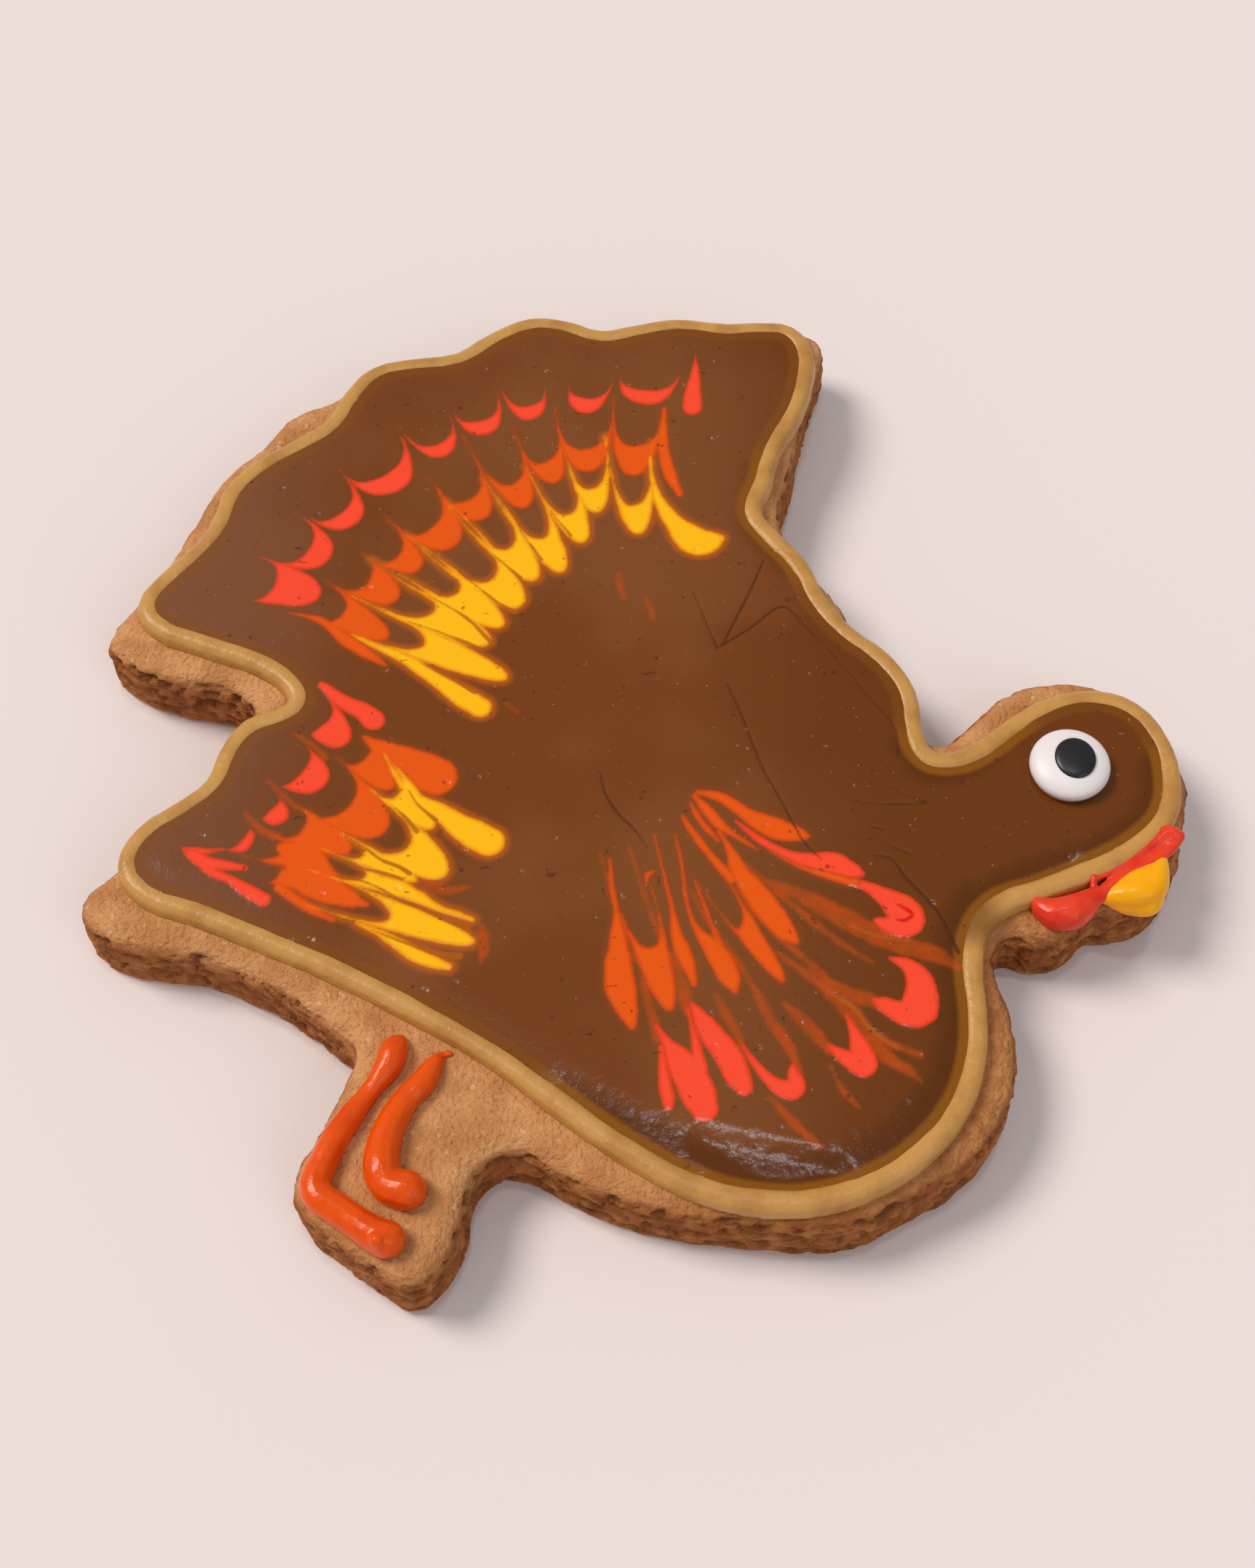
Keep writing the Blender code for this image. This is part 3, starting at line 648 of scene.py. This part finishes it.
# Thin amber lines that part the feathers.
FINGER_LINES = [
    [(-21.6, 8.1, 0.05), (-19.8, 7.0, 0.1), (-17.7, 5.7, 0.15), (-16.2, 4.8, 0.3)],
    [(-23.2, 13.2, 0.05), (-20.0, 11.9, 0.1), (-15.8, 9.9, 0.2)],
    [(-21.3, 16.4, 0.05), (-17.4, 13.7, 0.12), (-14.7, 10.6, 0.22)],
    [(-18.2, 19.3, 0.05), (-14.6, 15.9, 0.12), (-12.5, 14.4, 0.2)],
    [(-14.9, 21.6, 0.05), (-11.9, 18.6, 0.15)],
    [(-12.2, 24.8, 0.05), (-9.8, 20.9, 0.15)],
    [(-9.0, 27.3, 0.05), (-6.8, 24.0, 0.15)],
    [(-22.2, -6.7, 0.05), (-21.2, -8.3, 0.12), (-19.4, -10.0, 0.2)],
    [(-23.8, -8.2, 0.05), (-22.3, -9.8, 0.15), (-21.2, -11.2, 0.25)],
    [(-27.8, -11.9, 0.05), (-26.0, -13.1, 0.12), (-24.5, -14.3, 0.15), (-22.7, -15.1, 0.2),
     (-21.7, -15.8, 0.25)],
    [(-28.1, -13.9, 0.05), (-26.3, -15.2, 0.12), (-24.4, -15.7, 0.15), (-22.3, -16.4, 0.15)],
    [(-27.0, -16.3, 0.05), (-24.6, -17.3, 0.1), (-22.5, -18.6, 0.15), (-20.5, -19.4, 0.2),
     (-17.7, -20.7, 0.35), (-16.1, -21.3, 0.4)],
    [(-24.9, -21.8, 0.05), (-22.8, -22.7, 0.12), (-20.5, -23.6, 0.15), (-18.7, -24.2, 0.25),
     (-16.6, -24.5, 0.3)],
    [(19.0, -20.5, 0.03), (20.6, -21.6, 0.08), (22.8, -22.5, 0.08), (25.5, -22.9, 0.05)],
    [(16.5, -27.1, 0.05), (18.2, -28.5, 0.12), (20.1, -30.0, 0.12), (21.4, -31.9, 0.15),
     (23.7, -33.8, 0.1)],
]
# Darker bands where the icing pooled by the border line.
POOLS = [
    [(-7.0, -37.5, 1.0), (0.0, -42.4, 2.2), (8.0, -45.8, 2.4), (17.0, -46.2, 2.2), (24.0, -42.5, 2.0),
     (28.5, -37.0, 2.0), (29.8, -30.0, 1.6), (29.9, -23.0, 1.6), (32.0, -18.8, 1.8)],
    [(33.5, -18.0, 1.4), (39.0, -15.8, 1.6), (46.0, -12.6, 1.4), (50.0, -8.5, 1.2), (50.8, -4.0, 1.0)],
    [(26.5, -1.5, 0.6), (29.0, -4.4, 1.2), (33.0, -3.6, 1.0), (38.0, 0.0, 0.6)],
    [(13.0, 33.0, 0.6), (12.5, 26.0, 1.0), (16.0, 20.0, 0.6)],
]
# Deeper hollows in the pools, which catch the overhead lamp.
HOLLOWS = [
    [(6.0, -42.6, 0.6), (11.5, -45.0, 1.8), (17.5, -45.6, 0.8)],
    [(35.6, -16.4, 0.5), (38.6, -15.6, 1.2), (41.5, -14.6, 0.5)],
]
RED_MARKS = [
    [(24.6, -19.1, 0.1), (25.7, -19.8, 0.2), (26.0, -20.3, 0.12)],
    [(24.5, -20.7, 0.1), (25.2, -20.8, 0.16), (25.9, -20.4, 0.14)],
]
# Fine lines scored and cracked into the skin.
CRACKS = [
    [(13.2, 20.9, 0.08), (11.6, 16.8, 0.1), (8.7, 10.4, 0.08)],
    [(8.5, 10.2, 0.08), (11.9, 12.7, 0.1), (15.0, 15.1, 0.1), (17.5, 12.3, 0.05), (20.2, 8.8, 0.05),
     (23.3, 4.0, 0.05), (25.6, 0.6, 0.05), (25.8, -3.0, 0.03)],
    [(5.8, 17.1, 0.03), (7.1, 13.2, 0.06), (8.2, 9.9, 0.08)],
    [(9.1, 5.7, 0.05), (10.5, 1.8, 0.08), (12.2, -3.7, 0.08), (14.1, -7.9, 0.08), (15.9, -12.0, 0.08),
     (17.7, -14.3, 0.04)],
    [(-3.6, -4.4, 0.05), (-3.1, -6.9, 0.1), (-1.8, -9.2, 0.1), (-0.3, -10.9, 0.08), (1.0, -12.9, 0.03)],
    [(22.6, -13.8, 0.04), (24.4, -14.2, 0.08), (25.6, -16.2, 0.12), (28.5, -20.0, 0.12),
     (30.1, -24.0, 0.15)],
    [(24.6, -12.9, 0.06), (26.1, -13.6, 0.05)],
    [(22.7, -10.7, 0.06), (23.7, -11.0, 0.05)],
    [(21.0, -7.7, 0.03), (22.9, -8.1, 0.05), (25.8, -8.2, 0.06), (28.3, -8.0, 0.03)],
    [(24.6, -6.2, 0.03), (26.7, -7.3, 0.04), (28.3, -8.0, 0.03)],
]


# ---------------------------------------------------------------------------- pieces

def make_biscuit():
    """The baked biscuit, sandy above and flaky with pits and long cracks round its side."""
    mesh = fine_copy("biscuit", BISCUIT_VOXEL, smoothing=3)
    places = coordinates(mesh)
    facing = normals(mesh)
    upward = np.clip(facing[:, 2], 0.0, 1.0)
    side = 1.0 - np.abs(facing[:, 2])
    rough = np.clip(upward + 1.3 * side, 0.0, 1.3)
    broad = noise_field(places, 0.12, 3.0)
    sand = noise_field(places, 0.8, 7.0) + 0.6 * noise_field(places, 1.5, 9.0)
    layers = noise_field(places, 0.4, 11.0, (1.0, 1.0, 3.0))
    seams = noise_field(places, 0.22, 13.0, (1.0, 1.0, 4.5))
    holes = noise_field(places, 0.7, 19.0, (1.0, 1.0, 1.6))
    cracking = smooth_step(-np.abs(seams), -0.09, 0.0) * smooth_step(side, 0.3, 0.8)
    pit_dents_and_shade = smooth_step(holes, 0.22, 0.45) * smooth_step(side, 0.25, 0.7)
    shift = 0.10 * broad + 0.11 * sand * rough + 0.26 * layers * side
    shift -= 0.5 * pit_dents_and_shade + 0.4 * cracking
    places += facing * shift[:, None]
    places[:, 2] = np.maximum(places[:, 2], 0.0)
    set_coordinates(mesh, places)
    # Painted shade: the margins that slope away from the key lamp at the lower right, and the near end, are
    # darkened and folded into the browning.
    painted_end_shade = 0.6 * smooth_step(places[:, 0] - places[:, 1], 32.0, 66.0)
    painted_end_shade += 0.4 * smooth_step(-places[:, 1], 40.0, 56.0)
    browning_and_painted_shade = smooth_step(side + 0.2 * broad + 0.2 * layers + 0.1 * sand, 0.28, 0.95)
    browning_and_painted_shade = np.clip(browning_and_painted_shade + painted_end_shade + 0.12 * np.clip(-sand, 0.0, 1.0), 0.0, 1.0)
    # Painted shade in the pits, the cracks and the sunk layers of the side.
    dark = np.clip(0.9 * pit_dents_and_shade + 0.8 * cracking + 0.5 * smooth_step(-layers, 0.15, 0.5) * side, 0.0, 1.0)
    set_attribute(mesh, "browning_and_painted_shade", browning_and_painted_shade)
    set_attribute(mesh, "pit_dents_and_shade", dark)
    finished("biscuit_fine", "biscuit", mesh, biscuit_material())


def make_border(material):
    """The piped border line, set down onto the biscuit and slightly uneven as it was piped."""
    mesh = fine_copy("icing_border", BORDER_VOXEL, 8, foot=ICING_BASE)
    places = coordinates(mesh)
    facing = normals(mesh)
    uneven = noise_field(places, 0.2, 23.0) + 0.4 * noise_field(places, 0.7, 29.0)
    places += facing * (BORDER_SWELL + 0.09 * uneven)[:, None]
    crown = places[:, 2] > BORDER_SHOULDER
    places[crown, 2] = BORDER_SHOULDER + 0.55 * (places[crown, 2] - BORDER_SHOULDER)
    set_coordinates(mesh, places)
    finished("icing_border_fine", "icing_border", mesh, material)


def squeezed(strokes, voxel, smoothing):
    """Icing squeezed out along strokes of (x, y, half width, level of the middle) stations."""
    shape = bmesh.new()
    for stroke in strokes:
        for x, y, radius, level in smooth_path(stroke, 8):
            ball = bmesh.ops.create_icosphere(shape, subdivisions=2, radius=radius * MM)
            bmesh.ops.translate(shape, verts=ball["verts"], vec=(x * MM, y * MM, level * MM))
    mesh = bpy.data.meshes.new("squeezed")
    shape.to_mesh(mesh)
    shape.free()
    return voxel_skin(new_object("squeezed_rough", mesh), voxel, smoothing)


def make_squeezed(node, material, strokes, smoothing, wobble):
    """One squeezed piece of icing with a flat foot in the biscuit and a faintly uneven skin."""
    mesh = squeezed(strokes, PIPING_VOXEL, smoothing)
    places = coordinates(mesh)
    facing = normals(mesh)
    uneven = noise_field(places, 0.35, 23.0) + 0.4 * noise_field(places, 1.0, 29.0)
    places += facing * (wobble * uneven)[:, None]
    places[:, 2] = np.maximum(places[:, 2], ICING_BASE)
    set_coordinates(mesh, places)
    finished(node + "_fine", node, mesh, material)


def resting(stations):
    """Stations of a bead that rests on the biscuit, each given its level from its half width."""
    return [(x, y, radius, BISCUIT_TOP + 0.45 * radius) for x, y, radius in stations]


def flood_rim():
    """Closed outline of the flooded icing's foot in its CAD solid, as (x, y) in order."""
    shape = bmesh.new()
    shape.from_mesh(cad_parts["flood_icing"].data)
    bmesh.ops.remove_doubles(shape, verts=shape.verts, dist=0.00001)
    foot = [face for face in shape.faces if face.normal.z < -0.9]
    bmesh.ops.delete(shape, geom=[face for face in shape.faces if face not in set(foot)], context="FACES")
    edge = next(edge for edge in shape.edges if edge.is_boundary)
    start, corner = edge.verts
    ring = [start.co.to_2d()]
    while corner is not start:
        ring.append(corner.co.to_2d())
        edge = next(other for other in corner.link_edges if other.is_boundary and other is not edge)
        corner = edge.other_vert(corner)
    shape.free()
    return np.array(ring) / MM


def grown(outline, distance):
    """The outline moved outwards by a distance."""
    ahead = np.roll(outline, -1, axis=0) - np.roll(outline, 1, axis=0)
    ahead /= np.linalg.norm(ahead, axis=1)[:, None]
    outward = np.stack([ahead[:, 1], -ahead[:, 0]], axis=1)
    moved = outline + distance * outward
    area = np.sum(outline[:, 0] * np.roll(outline[:, 1], -1) - np.roll(outline[:, 0], -1) * outline[:, 1])
    return moved if area > 0.0 else outline - distance * outward


def flood_grid(rim):
    """Square grid of points inside the rim, with the faces between them."""
    low = rim.min(axis=0)
    high = rim.max(axis=0)
    columns = np.arange(low[0], high[0], FLOOD_STEP)
    rows = np.arange(low[1], high[1], FLOOD_STEP)
    points = np.stack(np.meshgrid(columns, rows), axis=-1).reshape(-1, 2)
    depth = -outline_distance(points, rim)
    index = np.full(len(points), -1)
    kept = depth > 0.0
    index[kept] = np.arange(kept.sum())
    table = index.reshape(len(rows), len(columns))
    corners = np.stack([table[:-1, :-1], table[:-1, 1:], table[1:, 1:], table[1:, :-1]], axis=-1)
    faces = corners.reshape(-1, 4)
    faces = faces[np.all(faces >= 0, axis=1)]
    used, faces = np.unique(faces, return_inverse=True)
    return points[kept][used], depth[kept][used], faces.reshape(-1, 4)


def flood_height(points, depth, distances):
    """Level of the icing: sunk towards the border, gently wavy, scored and pricked."""
    flat = np.column_stack([points, np.zeros(len(points))])
    inward = np.clip(depth - FLOOD_TUCK, 0.0, None)
    height = FLOOD_TOP - FLOOD_DIP * np.exp(-(inward / FLOOD_DIP_REACH) ** 2)
    height -= 0.12 * smooth_step(-distances["pool"], -1.6, 1.0)
    height -= 0.34 * smooth_step(-distances["hollow"], -1.6, 1.0)
    height += 0.07 * noise_field(flat, 0.05, 31.0) + 0.035 * noise_field(flat, 0.16, 37.0)
    for name, rise in (("red", 0.05), ("orange", 0.04), ("yellow", 0.06)):
        height += rise * smooth_step(-distances[name], -0.25, 0.35)
    height -= 0.04 * smooth_step(-distances["line"], -0.3, 0.0)
    height -= 0.05 * smooth_step(-distances["crack"], -0.4, 0.0)
    pricks = np.random.RandomState(5)
    for centre in points[pricks.choice(len(points), PRICKS, replace=False)]:
        radius = pricks.uniform(0.25, 0.5)
        reach = np.linalg.norm(points - centre, axis=1)
        height -= pricks.uniform(0.06, 0.2) * smooth_step(-reach, -radius, 0.0)
    return height


def make_flood():
    """The marbled flooded icing, one closed piece with its skirt tucked under the border."""
    rim = grown(flood_rim(), FLOOD_TUCK)
    points, depth, faces = flood_grid(rim)
    flat = np.column_stack([points, np.zeros(len(points))])
    ragged = 0.10 * noise_field(flat, 0.7, 41.0) + 0.05 * noise_field(flat, 2.0, 43.0)
    distances = {
        "red": drawn_distance(points, RED_FEATHERS, RED_STROKES) + ragged,
        "orange": drawn_distance(points, ORANGE_FEATHERS, ORANGE_STROKES) + ragged,
        "yellow": drawn_distance(points, YELLOW_FEATHERS, YELLOW_STROKES) + ragged,
        "rust": drawn_distance(points, [], RUST_STROKES) + 2.0 * ragged,
        "line": drawn_distance(points, [], FINGER_LINES) + 0.6 * ragged,
        "crack": drawn_distance(points, [], CRACKS) + 0.3 * ragged,
        "pool": drawn_distance(points, [], POOLS) + 3.0 * ragged,
        "hollow": drawn_distance(points, [], HOLLOWS) + ragged,
        "mark": drawn_distance(points, [], RED_MARKS) + 0.3 * ragged,
        "rim": depth - FLOOD_TUCK,
    }
    height = flood_height(points, depth, distances)

    mesh = bpy.data.meshes.new("flood_icing_fine")
    mesh.from_pydata(np.column_stack([points, height]) * MM, [], faces.tolist())
    shape = bmesh.new()
    shape.from_mesh(mesh)
    rim_edges = [edge for edge in shape.edges if edge.is_boundary]
    skirt = bmesh.ops.extrude_edge_only(shape, edges=rim_edges)["geom"]
    for vertex in (item for item in skirt if isinstance(item, bmesh.types.BMVert)):
        vertex.co.z = ICING_BASE * MM
    foot_edges = [edge for edge in shape.edges if edge.is_boundary]
    bmesh.ops.holes_fill(shape, edges=foot_edges, sides=0)
    added = len(shape.verts) - len(points)
    shape.to_mesh(mesh)
    shape.free()
    for name, field in distances.items():
        set_attribute(mesh, name + "_distance", np.concatenate([field, np.full(added, FAR)]))
    finished("flood_icing_fine", "flood_icing", mesh, flood_material())


def turned(name, profile, centre, steps=72):
    """Mesh turned about a vertical axis through the centre, from a profile of (radius, level)."""
    shape = bmesh.new()
    corners = [shape.verts.new((radius * MM, 0.0, level * MM)) for radius, level in profile]
    edges = [shape.edges.new(pair) for pair in zip(corners, corners[1:])]
    bmesh.ops.spin(shape, geom=corners + edges, cent=(0.0, 0.0, 0.0), axis=(0.0, 0.0, 1.0),
                   dvec=(0.0, 0.0, 0.0), angle=math.tau, steps=steps, use_merge=True)
    bmesh.ops.remove_doubles(shape, verts=shape.verts, dist=0.00001)
    bmesh.ops.recalc_face_normals(shape, faces=shape.faces)
    bmesh.ops.translate(shape, verts=shape.verts, vec=(centre[0] * MM, centre[1] * MM, 0.0))
    mesh = bpy.data.meshes.new(name)
    shape.to_mesh(mesh)
    shape.free()
    return mesh


def make_eye():
    """White sugar dome with a black pupil."""
    low, high = [np.array(corner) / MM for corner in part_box("eye_white")]
    centre = (low + high) / 2.0 + EYE_SHIFT
    radius = (high[0] - low[0]) / 2.0
    top = high[2]
    dome = []
    for step in range(19):
        angle = math.radians(90.0 * step / 18.0)
        dome.append((radius * math.sin(angle), top - 1.6 * (1.0 - math.cos(angle) ** 0.8)))
    foot = [(radius * 0.96, top - 2.0), (radius * 0.9, EYE_BASE), (0.0, EYE_BASE)]
    white = turned("eye_white_fine", dome + foot, centre)
    finished("eye_white_fine", "eye_white", white,
             sugar_material("white_sugar", srgb(238, 227, 224), 0.4))

    low, high = [np.array(corner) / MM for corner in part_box("eye_pupil")]
    centre = (low + high) / 2.0 + EYE_SHIFT
    radius = (high[0] - low[0]) / 2.0
    top = high[2]
    face = []
    for step in range(9):
        angle = math.radians(90.0 * step / 8.0)
        face.append((radius * math.sin(angle), top - 0.4 * (1.0 - math.cos(angle))))
    pupil = turned("eye_pupil_fine", face + [(radius, top - 1.2), (0.0, top - 1.2)], centre)
    places = coordinates(pupil)
    places[:, 1] = centre[1] + PUPIL_STRETCH * (places[:, 1] - centre[1])
    set_coordinates(pupil, places)
    finished("eye_pupil_fine", "eye_pupil", pupil,
             sugar_material("black_sugar", srgb(24, 19, 21), 0.36))


def make_piped_icing():
    tan = border_material()
    make_border(tan)
    orange = plain_icing("orange_icing", srgb(232, 82, 0), srgb(222, 70, 0), 0.22)
    make_squeezed("leg_left", orange, [resting(LEG_LEFT), LEG_LEFT_NIB], 5, 0.06)
    make_squeezed("leg_right", orange, [resting(LEG_RIGHT)], 5, 0.06)
    yellow = plain_icing("yellow_icing", srgb(252, 172, 0), srgb(246, 158, 0), 0.22)
    make_squeezed("beak", yellow, BEAK, 20, 0.04)
    red = plain_icing("red_icing", srgb(234, 66, 36), srgb(222, 48, 26), 0.24)
    make_squeezed("snood", red, SNOOD, 3, 0.05)


# ---------------------------------------------------------------------------- setting

def make_floor():
    mesh = bpy.data.meshes.new("floor")
    reach = 2.0
    mesh.from_pydata([(-reach, -reach, 0.0), (reach, -reach, 0.0), (reach, reach, 0.0), (-reach, reach, 0.0)],
                     [], [(0, 1, 2, 3)])
    floor = new_object("floor", mesh)
    material, tree, shader = new_material("pale_floor")
    shader.inputs["Base Color"].default_value = srgb(236, 221, 216)
    shader.inputs["Roughness"].default_value = 0.9
    mesh.materials.append(material)


def lamp(name, azimuth, elevation, strength, softness, colour):
    """Sun lamp that shines from an azimuth, counted from +X, and an elevation."""
    light = bpy.data.lights.new(name, "SUN")
    light.energy = strength
    light.angle = math.radians(softness)
    light.color = colour
    thing = bpy.data.objects.new(name, light)
    bpy.context.scene.collection.objects.link(thing)
    flat = math.cos(math.radians(elevation))
    source = Vector((flat * math.cos(math.radians(azimuth)), flat * math.sin(math.radians(azimuth)),
                     math.sin(math.radians(elevation))))
    thing.rotation_euler = source.to_track_quat("Z", "Y").to_euler()


def make_light():
    lamp("key", 160.0, 52.0, 2.0, 24.0, (1.0, 0.96, 0.91))
    lamp("fill", -50.0, 40.0, 0.45, 40.0, (0.86, 0.93, 1.0))
    lamp("overhead", 88.0, 85.0, 0.3, 5.0, (0.8, 0.9, 1.0))
    world = bpy.data.worlds.new("studio")
    world.use_nodes = True
    sky = world.node_tree.nodes["Background"]
    sky.inputs["Color"].default_value = (0.96, 0.97, 1.0, 1.0)
    sky.inputs["Strength"].default_value = 0.36
    bpy.context.scene.world = world
    bpy.context.scene.view_settings.view_transform = "Standard"


def make_camera():
    data = bpy.data.cameras.new("camera")
    data.lens = FOCAL_LENGTH
    data.sensor_width = SENSOR_SIZE
    camera = bpy.data.objects.new("camera", data)
    bpy.context.scene.collection.objects.link(camera)
    rise = math.radians(VIEW_ELEVATION)
    back = Vector((0.0, -math.cos(rise), math.sin(rise)))
    camera.location = (Vector(VIEW_TARGET) + VIEW_DISTANCE * back) * MM
    camera.rotation_euler = back.to_track_quat("Z", "Y").to_euler()
    data.clip_start = 0.01
    bpy.context.scene.camera = camera


make_biscuit()
make_piped_icing()
make_flood()
make_eye()
make_floor()
make_light()
make_camera()
